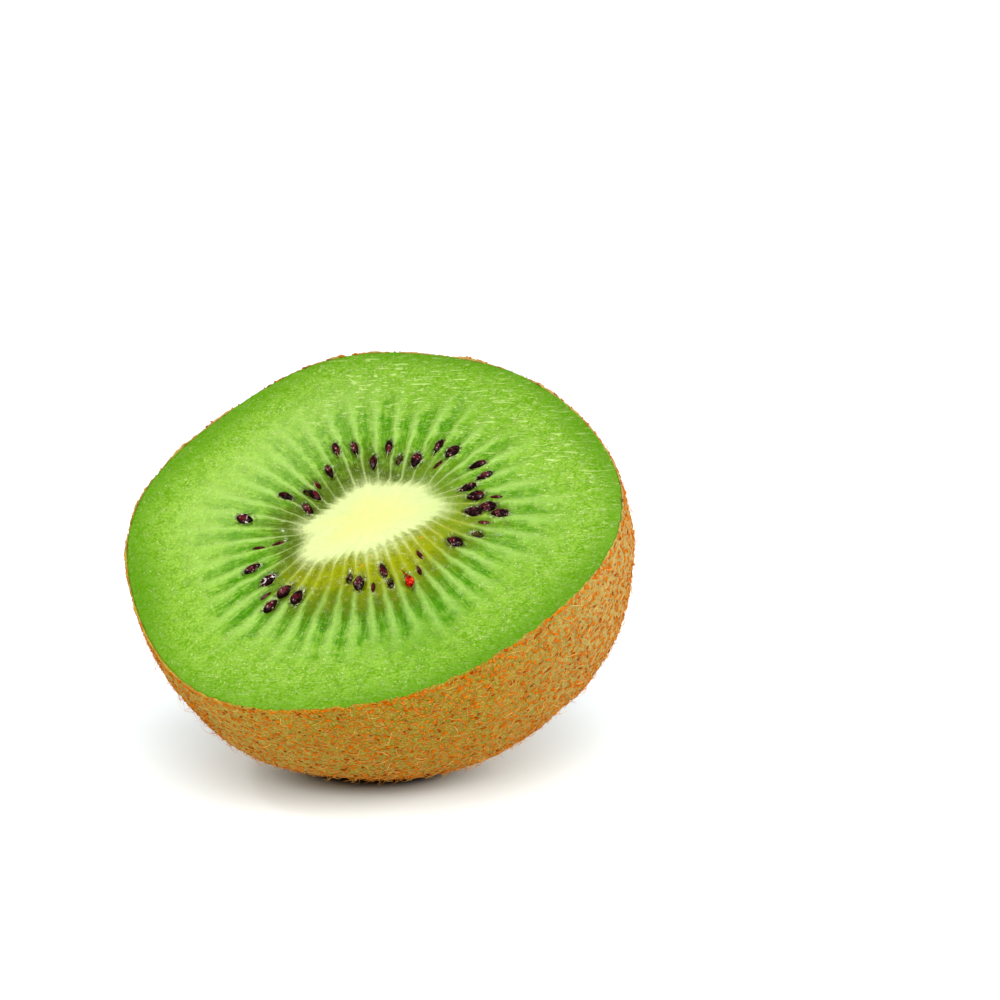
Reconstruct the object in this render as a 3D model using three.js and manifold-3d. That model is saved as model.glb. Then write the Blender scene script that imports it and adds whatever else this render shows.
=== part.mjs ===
// Half of a green kiwi fruit, cut across its middle and resting tipped forward on its round side.
// Millimetres, +Z up. The cut looks up and towards -Y, and the origin is the middle of the flat foot.
//
// `flesh` is the fruit with its thin rind, the stalk mark at its far end and the seeds that stand in
// the cut, all one solid. `core` is the pale middle, which runs down through the flesh.
//
// Both are modelled in the cut's own frame: X along the long way of the cut, Z out of it, and the
// fruit below it. The group at the end turns that frame into place.

import * as THREE from 'three';
import { mergeVertices } from 'three/addons/utils/BufferGeometryUtils.js';
import Module from 'manifold-3d';

const degrees = THREE.MathUtils.degToRad;

// The fruit: a round cut with a few long waves in its outline, on a body that closes like an ellipsoid
const CUT_RADIUS = 25.9;
const CUT_WAVES = [
  { count: 1, height: 1.17, crest: degrees(-126) },
  { count: 2, height: 1.6, crest: degrees(-12) },
  { count: 3, height: 0.58, crest: degrees(-26) },
  { count: 4, height: 0.32, crest: degrees(-24) },
  { count: 5, height: 0.11, crest: degrees(1) },
  { count: 6, height: 0.32, crest: degrees(-27) },
];
const DEPTH = 33.4; // from the cut to the far end
const WIDEST_AT = 1.6; // below the cut
const END_SHIFT = new THREE.Vector2(0.9, -1.4); // the far end, off the cut's middle

// The stalk mark at the far end: a woody button in a shallow dimple
const DIMPLE_RADIUS = 4.2;
const DIMPLE_DEPTH = 0.5;
const BUTTON_RADIUS = 1.9;
const BUTTON_HEIGHT = 0.8;
const BUTTON_RINGS = [[1.3, 0], [1, 0.5], [0.7, 1]]; // radius and height, as shares of the button's
const BUTTON_HOLLOW = 0.12;

// The core: an uneven oval at the cut, which tapers as it goes down
const CORE_REACH = 8.5; // half the core's mean length
const CORE_WAVES = [
  { count: 1, height: 0.22, crest: degrees(214) },
  { count: 2, height: 0.2, crest: degrees(40) },
  { count: 3, height: 0.3, crest: degrees(91) },
];
const CORE_TEETH = 0.12; // the core's edge goes out to meet each wall between the chambers
const CORE_DEPTH = 24;
const CORE_DOME = 0.3; // how far its middle stands above its edge
const DOME_RING = 0.5; // where the dome has a ring of points, as a share of the way out
const CORE_GAP = 0.3;

// The seed chambers: they fan out from the core along the curves that cross ovals of one focus
const CHAMBERS = 43;
const FOCUS = 7.1;
const RIM_REACH = 26.5;
const CHAMBER_DRIFT = degrees(6.5); // the chambers aren't quite evenly spaced
const CHAMBER_WAVES = [
  { count: 1, height: degrees(5), crest: degrees(151) },
  { count: 2, height: degrees(2.2), crest: degrees(70) },
];
const CHAMBER_SINK = 0.15;
const WALL_RISE = 0.07;
const CHAMBER_LENGTH = 0.75; // as a share of the way to the rind

// The seeds. Each row has a mark for every chamber, going round from X: a digit is a seed, that many
// steps out, and a dot is none. A row's seeds lie to one side of their chambers' middles.
const SEED_START = 9;
const SEED_STEP = 0.7;
const SEED_LENGTH = 2;
const SEED_THICKNESS = 0.9;
const SEED_SINK = 0.08;
const SEED_TURN = degrees(10); // a seed lies up to this far off its chamber's line
const SEED_SECTION = [[0, -1], [0.62, -0.6], [1, 0.05], [0.72, 0.7], [0, 1]]; // point first, in half sizes
const SEED_ROWS = [
  { width: 1.25, side: -0.5, marks: '...5.2...........8......66...3.......4..4..' },
  { width: 1.25, side: 0.5, marks: '......................6.................64.' },
  { width: 1.05, side: -0.5, marks: '........................9...............8..' },
  { width: 0.85, side: -0.5, marks: '66..5..42563.1.......7.........2...........' },
  { width: 0.85, side: 0.5, marks: '..............4.................5.........3' },
  { width: 0.85, side: 0.5, marks: '..............0............................' },
];

// How the half rests
const CUT_CENTRE = new THREE.Vector3(0.9, -6.1, 30.8);
const LEAN = degrees(38); // the cut's tilt out of the level, towards -Y
const TURN = degrees(30); // the cut's long way, turned in the cut
// Its underside, flattened by its own weight: a small foot, then a shallow cone till the round side takes over
const REST_SECTION = [[0, 0], [4, 0], [4.6, 0.33], [13, 2.58]];
const REST_SIDES = 48;

// How finely the round and the rest are stepped: each chamber has a step on its wall and one in its middle
const STEPS_ROUND = 2 * CHAMBERS;
const FACE_STEPS = 7;
const RIND_STEPS = 14;
const POCKET_STEPS = 5;
const SEED_SIDES = 6;

const { PI, atan2, cos, hypot, max, min, sin, sqrt } = Math;

// A repeatable draw between -1 and 1
const DRAW_FACTOR = 16807;
const DRAW_RANGE = 2 ** 31 - 1;
let drawState = 20;
function draw() {
  drawState = (drawState * DRAW_FACTOR) % DRAW_RANGE;
  return (2 * drawState) / DRAW_RANGE - 1;
}

function waves(list, angle) {
  return list.reduce((sum, { count, height, crest }) => sum + height * cos(count * (angle - crest)), 0);
}

function cutRadius(angle) {
  return CUT_RADIUS + waves(CUT_WAVES, angle);
}

function isWall(step) {
  return step % 2 === 0;
}

// The angle at which a step round the cut leaves the core
function stepAngle(step) {
  const even = (2 * PI * step) / STEPS_ROUND;
  return even + CHAMBER_DRIFT + waves(CHAMBER_WAVES, even);
}

function onOval(angle, reach) {
  return new THREE.Vector2(reach * cos(angle), sqrt(reach * reach - FOCUS * FOCUS) * sin(angle));
}

function coreReach(angle, step) {
  return CORE_REACH + waves(CORE_WAVES, angle) + (isWall(step) ? CORE_TEETH : -CORE_TEETH);
}

// A point of the cut. The ovals swell into the fruit's outline on their way to the rind.
function onCut(angle, reach) {
  const point = onOval(angle, reach);
  const rim = onOval(angle, RIM_REACH);
  const swell = cutRadius(atan2(rim.y, rim.x)) / rim.length() - 1;
  const share = max(0, (reach - CORE_REACH) / (RIM_REACH - CORE_REACH));
  return point.multiplyScalar(1 + swell * share * share);
}

// The cut's relief: each chamber sinks a little between its walls
function relief(step, share) {
  return (isWall(step) ? WALL_RISE : -CHAMBER_SINK) * sin(PI * min(1, share / CHAMBER_LENGTH));
}

// Turns a section round the axis. Each station gives its own place for every step of the round.
function turned(stations) {
  const section = stations.map((station) => {
    const { x, y, z } = station(0);
    return new THREE.Vector2(hypot(x, y), z);
  });
  const geometry = new THREE.LatheGeometry(section, STEPS_ROUND);
  const { position } = geometry.attributes;
  for (let i = 0; i < position.count; i += 1) {
    const step = Math.floor(i / stations.length) % STEPS_ROUND;
    const { x, y, z } = stations[i % stations.length](step);
    position.setXYZ(i, x, y, z);
  }
  return geometry;
}

function axisStation(height, shift = new THREE.Vector2()) {
  return () => new THREE.Vector3(shift.x, shift.y, height);
}

// The core's side, or that of the pocket it stands in, from its tip up to the cut
function coreSide(gap) {
  const stations = [axisStation(gap - CORE_DEPTH)];
  for (let i = 1; i <= POCKET_STEPS; i += 1) {
    const share = i / POCKET_STEPS;
    const taper = sin((PI / 2) * share);
    const height = -(CORE_DEPTH - gap) * cos((PI / 2) * share);
    stations.push((step) => {
      const angle = stepAngle(step);
      const side = onOval(angle, coreReach(angle, step)).multiplyScalar(taper);
      side.setLength(side.length() - gap);
      return new THREE.Vector3(side.x, side.y, share === 1 ? 0 : height);
    });
  }
  return stations;
}

function cutStations() {
  const stations = [];
  for (let i = 1; i <= FACE_STEPS; i += 1) {
    const share = i / FACE_STEPS;
    stations.push((step) => {
      const angle = stepAngle(step);
      const start = coreReach(angle, step);
      const { x, y } = onCut(angle, start + (RIM_REACH - start) * share);
      return new THREE.Vector3(x, y, relief(step, share));
    });
  }
  return stations;
}

// The rind: the cut's outline, narrowing and shifting towards the far end
function onRind(angle, depth) {
  const span = DEPTH - WIDEST_AT;
  const narrow = sqrt(1 - ((depth - WIDEST_AT) / span) ** 2) / sqrt(1 - (WIDEST_AT / span) ** 2);
  const shift = (depth / DEPTH) ** 2;
  const radius = cutRadius(angle) * narrow;
  return new THREE.Vector3(
    radius * cos(angle) + END_SHIFT.x * shift,
    radius * sin(angle) + END_SHIFT.y * shift,
    -depth,
  );
}

function rimAngle(step) {
  const { x, y } = onOval(stepAngle(step), RIM_REACH);
  return atan2(y, x);
}

function rindStations() {
  const span = DEPTH - WIDEST_AT;
  const first = -Math.asin(WIDEST_AT / span);
  const last = Math.acos(DIMPLE_RADIUS / CUT_RADIUS);
  const stations = [];
  for (let i = 1; i <= RIND_STEPS; i += 1) {
    const depth = WIDEST_AT + span * sin(first + ((last - first) * i) / RIND_STEPS);
    stations.push((step) => onRind(rimAngle(step), depth));
  }
  return stations;
}

function markRing(radius, height) {
  return (step) => {
    const angle = rimAngle(step);
    return new THREE.Vector3(END_SHIFT.x + radius * cos(angle), END_SHIFT.y + radius * sin(angle), height);
  };
}

function stalkMark() {
  const floor = DIMPLE_DEPTH - DEPTH;
  const rings = BUTTON_RINGS.map(([radius, height]) => (
    markRing(radius * BUTTON_RADIUS, floor - height * BUTTON_HEIGHT)
  ));
  return [...rings, axisStation(floor - BUTTON_HEIGHT + BUTTON_HOLLOW, END_SHIFT)];
}

// One seed along Y, its point towards -Y
function seedGeometry(width) {
  const points = SEED_SECTION.map(([radius, height]) => new THREE.Vector2(radius, height));
  const geometry = new THREE.LatheGeometry(points, SEED_SIDES);
  return geometry.scale(width / 2, SEED_LENGTH / 2, SEED_THICKNESS / 2);
}

function placedSeed(chamber, steps, width, side) {
  const angle = stepAngle(2 * chamber + 1 + side);
  const reach = SEED_START + SEED_STEP * steps;
  const place = onCut(angle, reach);
  const outward = onCut(angle, reach + 1).sub(place);
  const heading = atan2(outward.y, outward.x) - PI / 2 + SEED_TURN * draw();
  return seedGeometry(width).rotateZ(heading).translate(place.x, place.y, -SEED_SINK);
}

// Booleans
const wasm = await Module();
wasm.setup();

function solid(geometry) {
  geometry.deleteAttribute('normal');
  geometry.deleteAttribute('uv');
  const merged = mergeVertices(geometry);
  const corners = Array.from(merged.index.array);
  const triVerts = [];
  for (let i = 0; i < corners.length; i += 3) {
    const [a, b, c] = corners.slice(i, i + 3);
    if (a !== b && b !== c && c !== a) triVerts.push(a, b, c);
  }
  const vertProperties = new Float32Array(merged.attributes.position.array);
  const mesh = new wasm.Mesh({ numProp: 3, vertProperties, triVerts: new Uint32Array(triVerts) });
  return new wasm.Manifold(mesh);
}

function toMesh(name, manifold, material) {
  const { numProp, vertProperties, triVerts } = manifold.getMesh();
  const geometry = new THREE.BufferGeometry();
  geometry.setAttribute('position', new THREE.BufferAttribute(new Float32Array(vertProperties), numProp));
  geometry.setIndex(new THREE.BufferAttribute(new Uint32Array(triVerts), 1));
  geometry.computeVertexNormals();
  const mesh = new THREE.Mesh(geometry, new THREE.MeshStandardMaterial(material));
  mesh.name = name;
  return mesh;
}

function withSeeds(body) {
  let fused = body;
  for (const { width, side, marks } of SEED_ROWS) {
    [...marks].forEach((mark, chamber) => {
      if (mark !== '.') fused = fused.add(solid(placedSeed(chamber, Number(mark), width, side)));
    });
  }
  return fused;
}

// All the room over the underside, in the cut's frame. The cone's line goes on past the fruit.
function roomOverRest(half) {
  const [[innerRadius, innerHeight], [radius, height]] = REST_SECTION.slice(-2);
  const slope = (height - innerHeight) / (radius - innerRadius);
  const farRadius = 4 * DEPTH;
  const farHeight = height + slope * (farRadius - radius);
  const section = [...REST_SECTION, [farRadius, farHeight], [farRadius, farRadius], [0, farRadius]];
  const room = new THREE.LatheGeometry(section.map(([x, y]) => new THREE.Vector2(x, y)), REST_SIDES);
  return room.rotateX(PI / 2).applyMatrix4(half.matrix.clone().invert());
}

function makeFlesh(half) {
  const fromPocketToMark = [...coreSide(0), ...cutStations(), ...rindStations(), ...stalkMark()];
  const body = withSeeds(solid(turned(fromPocketToMark.reverse()))).intersect(solid(roomOverRest(half)));
  return toMesh('flesh', body, { color: 0x8fc93a, roughness: 0.45, metalness: 0 });
}

function makeCore() {
  const domeRing = (step) => {
    const { x, y } = onOval(stepAngle(step), CORE_REACH).multiplyScalar(DOME_RING);
    return new THREE.Vector3(x, y, CORE_DOME * cos((PI / 2) * DOME_RING));
  };
  const body = solid(turned([...coreSide(CORE_GAP), domeRing, axisStation(CORE_DOME)]));
  return toMesh('core', body, { color: 0xeff3b4, roughness: 0.6, metalness: 0 });
}

const half = new THREE.Group();
half.position.copy(CUT_CENTRE);
half.rotation.set(LEAN, 0, TURN);
half.updateMatrix();
half.add(makeFlesh(half), makeCore());

export default half;
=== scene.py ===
"""Dresses the kiwi fruit half: the wet cut with its core and seeds, and the rind with its stalk mark and hair."""

import math

import bpy
import numpy as np
from mathutils import Matrix, Vector, noise


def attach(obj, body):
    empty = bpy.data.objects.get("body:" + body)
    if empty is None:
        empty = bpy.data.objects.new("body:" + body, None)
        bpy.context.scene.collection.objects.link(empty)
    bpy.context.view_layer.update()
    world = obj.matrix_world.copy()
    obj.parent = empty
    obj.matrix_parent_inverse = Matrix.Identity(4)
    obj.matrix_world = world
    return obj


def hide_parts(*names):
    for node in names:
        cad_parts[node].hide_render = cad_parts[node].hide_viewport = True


bl_info = {
    "name": "Kiwi Fruit Half",
    "version": (1, 0, 0),
    "blender": (4, 5, 0),
    "location": "View3D > Sidebar > Kiwi",
    "description": "Builds the flesh, core, seeds, rind and hair of a cut kiwi fruit around its solids",
    "category": "Add Mesh",
}

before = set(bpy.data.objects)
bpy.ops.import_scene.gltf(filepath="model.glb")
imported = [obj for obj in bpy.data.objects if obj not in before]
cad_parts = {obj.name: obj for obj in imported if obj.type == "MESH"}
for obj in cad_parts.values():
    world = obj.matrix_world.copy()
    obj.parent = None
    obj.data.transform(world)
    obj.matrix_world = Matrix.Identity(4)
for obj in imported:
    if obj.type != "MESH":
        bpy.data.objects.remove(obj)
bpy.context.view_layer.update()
MM = 0.001
PI = math.pi

# ---------------------------------------------------------------- the fruit's form, in millimetres
# The formulas are the solids' own. They work in the cut's frame: X along the long way of the cut and
# Z out of it. `phase` counts the seed chambers round the core, whole numbers on the walls between them.

CUT_CENTRE = (0.9, -6.1, 30.8)
LEAN = math.radians(38)
TURN = math.radians(30)
REST_SECTION = ((0, 0), (4, 0), (4.6, 0.35), (13, 3.3), (64, 17))  # radius and height of its underside
REST_SOFTNESS = 0.25
CLEARANCE = 0.05  # what stands off the rind keeps this far above the ground

CUT_RADIUS = 25.9
CUT_WAVES = ((1, 1.17, -126), (2, 1.6, -12), (3, 0.58, -26), (4, 0.32, -24), (5, 0.11, 1), (6, 0.32, -27))
DEPTH = 33.4
WIDEST_AT = 1.6
END_SHIFT = (0.9, -1.4)

DIMPLE_RADIUS = 4.2
DIMPLE_DEPTH = 0.5
BUTTON_RADIUS = 1.9
MIDDLE = (0, 0, -10)  # the rind's lumps swell away from here

CORE_REACH = 8.5
CORE_WAVES = ((1, 0.22, 214), (2, 0.2, 40), (3, 0.3, 91))
CORE_TEETH = 0.12
CORE_DEPTH = 24
CORE_DOME = 0.3

CHAMBERS = 43
FOCUS = 7.1
RIM_REACH = 26.5
CHAMBER_DRIFT = math.radians(6.5)
CHAMBER_WAVES = ((1, math.radians(5), 151), (2, math.radians(2.2), 70))
CHAMBER_SINK = 0.15
WALL_RISE = 0.07
CHAMBER_LENGTH = 0.75

SEED_START = 9
SEED_STEP = 0.7
SEED_LENGTH = 2
SEED_THICKNESS = 0.9
SEED_SINK = 0.08
SEED_TURN = math.radians(10)
SEED_ROWS = (
    (1.25, -0.5, "...5.2...........8......66...3.......4..4.."),
    (1.25, 0.5, "......................6.................64."),
    (1.05, -0.5, "........................9...............8.."),
    (0.85, -0.5, "66..5..42563.1.......7.........2..........."),
    (0.85, 0.5, "..............4.................5.........3"),
    (0.85, 0.5, "..............0............................"),
)
RED_SEED = (32, 5)  # its chamber and its steps out
SUNK_ROWS = (  # seeds that lie deep in wet holes
    (0.9, 0.0, "......2......2..............2..4......6...."),
)
SUNK_DEPTH = 0.42
SLIVER_ROWS = (  # seeds that the flesh covers all but a sliver
    (0.62, 0.0, "...2........2..........8..........2....687."),
    (0.62, 0.5, "...................5.............4........."),
    (0.62, 0.5, "...................2......................."),
    (0.62, -0.5, "..............................4............"),
)
SLIVER_DEPTH = 0.34
STALKED_SEEDS = ((9, 5), (7, 4), (4, 5), (29, 3), (0, 6), (24, 6), (10, 6), (42, 3))

CREAM_REACH = 8.27  # where the core's pale colour ends
CREAM_WAVES = ((1, 0.34, -107), (3, 0.36, -31), (4, 0.09, -30), (5, 0.14, -7), (6, 0.52, -28), (7, 0.08, -6),
               (8, 0.12, -19), (10, 0.1, 14))
CORE_LAP = 0.25  # the core's thin edge lies over the flesh
FIBRES = CHAMBERS * 1.4
STROKES_TURN = math.radians(23.7)  # how the knife's strokes run across the cut

UV_NAME = "round_and_out"
FACE_COLUMNS = 14 * CHAMBERS
FACE_ROWS = 104
HOLLOW_ROWS = 8  # the flesh down to the core's tip
BELLY_ROWS = 16  # the flesh under the rind
CORE_ROWS = 44
TIP_ROWS = 12
RIND_COLUMNS = 16 * CHAMBERS
RIND_ROWS = 84
LINING_ROWS = 24
STALK_RINGS = 6
EDGE_TUFTS = 420
TUFT_SIZES = ((0.16, 0.48), (0.09, 0.2), (0.08, 0.15))  # half lengths, widths and heights, from and to
HAIR_SHARE = 1.0  # of the hairs, how many grow
# Painted highlight: these two seeds get a white gleam painted on
WET_GLEAM_SEEDS = ((17, 8), (22, 6))  # these two have a film of juice

LENS = 140.4
VIEWER = (0.15185, -0.38589, 0.14221)
VIEW_AZIMUTH, VIEW_ELEVATION = math.radians(19.7), math.radians(15)
SKY_FROM = (0.24, -0.67, 0.71)
LIT_POINT = (0, 0, 0.025)
LAMPS = (  # name, place in metres, width and power
    ("small_top", (-0.3, -0.35, 0.6), 0.07, 0.5),
    ("soft_right", (0.6, 0.15, 0.25), 0.35, 2.0),
)


def waves(terms, angle):
    return sum(height * np.cos(count * (angle - math.radians(crest))) for count, height, crest in terms)


def cut_radius(angle):
    return CUT_RADIUS + waves(CUT_WAVES, angle)


def chamber_angle(phase):
    even = 2 * PI * phase / CHAMBERS
    return even + CHAMBER_DRIFT + waves(CHAMBER_WAVES, even)


def on_oval(angle, reach):
    return reach * np.cos(angle), np.sqrt(reach * reach - FOCUS * FOCUS) * np.sin(angle)


def core_reach(angle, phase):
    return CORE_REACH + waves(CORE_WAVES, angle) + CORE_TEETH * np.cos(2 * PI * phase)


def on_cut(angle, reach):
    x, y = on_oval(angle, reach)
    rim_x, rim_y = on_oval(angle, RIM_REACH)
    swell = cut_radius(np.arctan2(rim_y, rim_x)) / np.hypot(rim_x, rim_y) - 1
    share = np.maximum(0, (reach - CORE_REACH) / (RIM_REACH - CORE_REACH))
    grown = 1 + swell * share * share
    return x * grown, y * grown


def relief(phase, share):
    """The chambers sink between their walls, and it all levels out towards the rim."""
    edge = np.abs(np.cos(PI * phase)) ** 3
    fade = np.sin(PI * np.minimum(1, share / CHAMBER_LENGTH))
    return (WALL_RISE * edge - CHAMBER_SINK * (1 - edge)) * fade


def phases(columns):
    """Even steps through the chambers that end where they begin."""
    phase = np.linspace(0, CHAMBERS, columns + 1)
    phase[-1] = 0
    return phase


def rim_angle(phase):
    x, y = on_oval(chamber_angle(phase), RIM_REACH)
    return np.arctan2(y, x)


def narrowing(depth):
    span = DEPTH - WIDEST_AT
    return np.sqrt(np.maximum(0, 1 - ((depth - WIDEST_AT) / span) ** 2)) / math.sqrt(1 - (WIDEST_AT / span) ** 2)


def on_rind(angle, depth, inset=0.0):
    shift = (depth / DEPTH) ** 2
    radius = np.maximum(0, cut_radius(angle) * narrowing(depth) - inset)
    height = -depth + inset * depth / DEPTH
    return points_of(radius * np.cos(angle) + END_SHIFT[0] * shift,
                     radius * np.sin(angle) + END_SHIFT[1] * shift, height)


def end_ring(angle, radius, rise):
    """A ring round the fruit's end, this far above the floor of its dimple."""
    return points_of(END_SHIFT[0] + radius * np.cos(angle), END_SHIFT[1] + radius * np.sin(angle),
                     DIMPLE_DEPTH - DEPTH + rise)


def points_of(x, y, z):
    return np.stack(np.broadcast_arrays(x, y, z), axis=-1).astype(float)


LEANING = Matrix.Rotation(LEAN, 3, "X") @ Matrix.Rotation(TURN, 3, "Z")


def in_place(points):
    """From the cut's frame in millimetres to the part's frame in metres."""
    return (points @ np.array(LEANING).T + np.array(CUT_CENTRE)) * MM


def out_of_place(points):
    return (points / MM - np.array(CUT_CENTRE)) @ np.array(LEANING)


def unit(ways):
    return ways / np.linalg.norm(ways, axis=-1, keepdims=True)


def swelled(points):
    """The points of the rind moved in and out by its soft lumps."""
    swell = lumps(points, 4.0, 5) * 0.12 + lumps(points, 1.3, 6) * 0.06 - 0.12
    return points + unit(points - np.array(MIDDLE)) * swell[..., None]


def rested(points, inset=0.0):
    """The points with those of the underside lifted to where the fruit rests, less the inset."""
    placed = in_place(points) / MM
    radius = np.hypot(placed[..., 0], placed[..., 1])
    floor = np.interp(radius, *zip(*REST_SECTION)) + inset
    over = placed[..., 2] - floor
    soft = np.where(radius < REST_SECTION[1][0], 0.0, REST_SOFTNESS)
    placed[..., 2] = floor + (over + np.sqrt(over * over + soft * soft)) / 2
    return out_of_place(placed * MM)


class Draws:
    """The repeatable draws between -1 and 1 that turn the seeds, the same as the solids'."""

    def __init__(self, state):
        self.state = state

    def next(self):
        self.state = self.state * 16807 % (2**31 - 1)
        return 2 * self.state / (2**31 - 1) - 1


def seeds_in(rows, draws):
    """Where the rows of marks put their seeds: chamber, steps out, place, heading and width."""
    found = []
    for width, side, marks in rows:
        for chamber, mark in enumerate(marks):
            if mark == ".":
                continue
            phase = chamber + 0.5 + side / 2
            angle = chamber_angle(phase)
            reach = SEED_START + SEED_STEP * int(mark)
            start = core_reach(angle, phase)
            x, y = on_cut(angle, reach)
            next_x, next_y = on_cut(angle, reach + 1)
            heading = math.atan2(next_y - y, next_x - x) + SEED_TURN * draws.next()
            found.append({
                "key": (chamber, int(mark)), "x": x, "y": y, "heading": heading, "width": width,
                "level": relief(phase, (reach - start) / (RIM_REACH - start)),
            })
    return found


STANDING_SEEDS = seeds_in(SEED_ROWS, Draws(20))
SUNK_SEEDS = seeds_in(SUNK_ROWS, Draws(7))
SLIVER_SEEDS = seeds_in(SLIVER_ROWS, Draws(3))


def seed_distance(x, y, seed):
    """How far a point is from a seed's middle, 1 at its outline."""
    dx, dy = x - seed["x"], y - seed["y"]
    along = dx * math.cos(seed["heading"]) + dy * math.sin(seed["heading"])
    across = -dx * math.sin(seed["heading"]) + dy * math.cos(seed["heading"])
    return np.hypot(along / (SEED_LENGTH / 2), across / (seed["width"] / 2))


# ---------------------------------------------------------------- what a user may change


def colour(code):
    """A colour's values from the code that a paint chart gives."""
    parts = [int(code[i:i + 2], 16) / 255 for i in (0, 2, 4)]
    return tuple(p / 12.92 if p <= 0.04045 else ((p + 0.055) / 1.055) ** 2.4 for p in parts) + (1.0,)


def colour_property(name, description, code):
    return bpy.props.FloatVectorProperty(
        name=name, description=description, subtype="COLOR", size=4, min=0, max=1, default=colour(code))


def length_property(name, description, millimetres):
    return bpy.props.FloatProperty(
        name=name, description=description, unit="LENGTH", subtype="DISTANCE", min=0, default=millimetres * MM)


class KiwiSizes(bpy.types.PropertyGroup):
    rind_thickness: length_property("Rind thickness", "How thick the rind shows at the cut", 0.3)
    stray_hair: length_property("Stray hair", "Length of the hairs that stand off the rind", 1.5)
    lying_hair: length_property("Lying hair", "Length of the hairs that lie on the rind", 1.3)
    hair_radius: length_property("Hair radius", "Half the thickness of a hair at its root", 0.03)
    tuft_spacing: length_property("Tuft spacing", "Distance from one rust tuft to the next", 0.87)


class KiwiColours(bpy.types.PropertyGroup):
    flesh_light: colour_property("Light flesh", "The palest flesh", "90bb41")
    flesh_mid: colour_property("Flesh", "Most of the flesh", "609402")
    flesh_deep: colour_property("Deep flesh", "The deep green in the chambers", "428300")
    flesh_rim: colour_property("Rim", "The green band under the rind", "498100")
    fleck: colour_property("Fleck", "The fine pale flecks in the flesh", "cbe689")
    jelly_warm: colour_property("Warm jelly", "The clear jelly on the core's lower side", "949b01")
    jelly_cool: colour_property("Cool jelly", "The clear jelly on the core's upper side", "404101")
    jelly_dark: colour_property("Dark jelly", "The darkest jelly, between the walls", "353f02")
    wall: colour_property("Chamber wall", "The pale walls near the core", "9eb46b")
    wall_low: colour_property("Low chamber wall", "The walls near the core's lower side", "a8ac38")
    wall_far: colour_property("Far chamber wall", "The walls' thin outer ends", "a2c766")
    core: colour_property("Core", "The core's edge", "cfdb96")
    core_middle: colour_property("Core middle", "The middle of the core", "d4de8a")
    amber: colour_property("Amber", "The few amber spots in the jelly", "c98f15")
    seed: colour_property("Seed", "The seeds", "160103")
    red_seed: colour_property("Red seed", "The one seed that is red", "b41404")
    rind: colour_property("Rind", "The bare rind between the tufts", "9e811f")
    rind_green: colour_property("Green rind", "The greener patches of the rind", "837b16")
    rust: colour_property("Rust", "The rust tufts", "c86702")
    rust_dark: colour_property("Dark rust", "The dark roots of the tufts", "8c3404")
    hair: colour_property("Hair", "The fine hairs", "e6af5d")
    wood: colour_property("Stalk wood", "The stalk's mark", "6a4422")
    floor: colour_property("Floor", "The ground it stands on", "f3fafc")


def sizes():
    return bpy.context.scene.kiwi_sizes


def colours():
    return bpy.context.scene.kiwi_colours


# ---------------------------------------------------------------- material nodes


class Value:
    """A node's socket, which sums and products take like a number."""

    def __init__(self, paint, socket):
        self.paint = paint
        self.socket = socket

    def _with(self, operation, first, second=0.0):
        return self.paint.node("Math", {"operation": operation}, {0: first, 1: second})

    def __add__(self, other):
        return self._with("ADD", self, other)

    __radd__ = __add__

    def __sub__(self, other):
        return self._with("SUBTRACT", self, other)

    def __rsub__(self, other):
        return self._with("SUBTRACT", other, self)

    def __mul__(self, other):
        return self._with("MULTIPLY", self, other)

    __rmul__ = __mul__

    def __pow__(self, other):
        return self._with("POWER", self, other)

    def __abs__(self):
        return self._with("ABSOLUTE", self)

    def call(self, operation):
        return self._with(operation, self)


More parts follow.
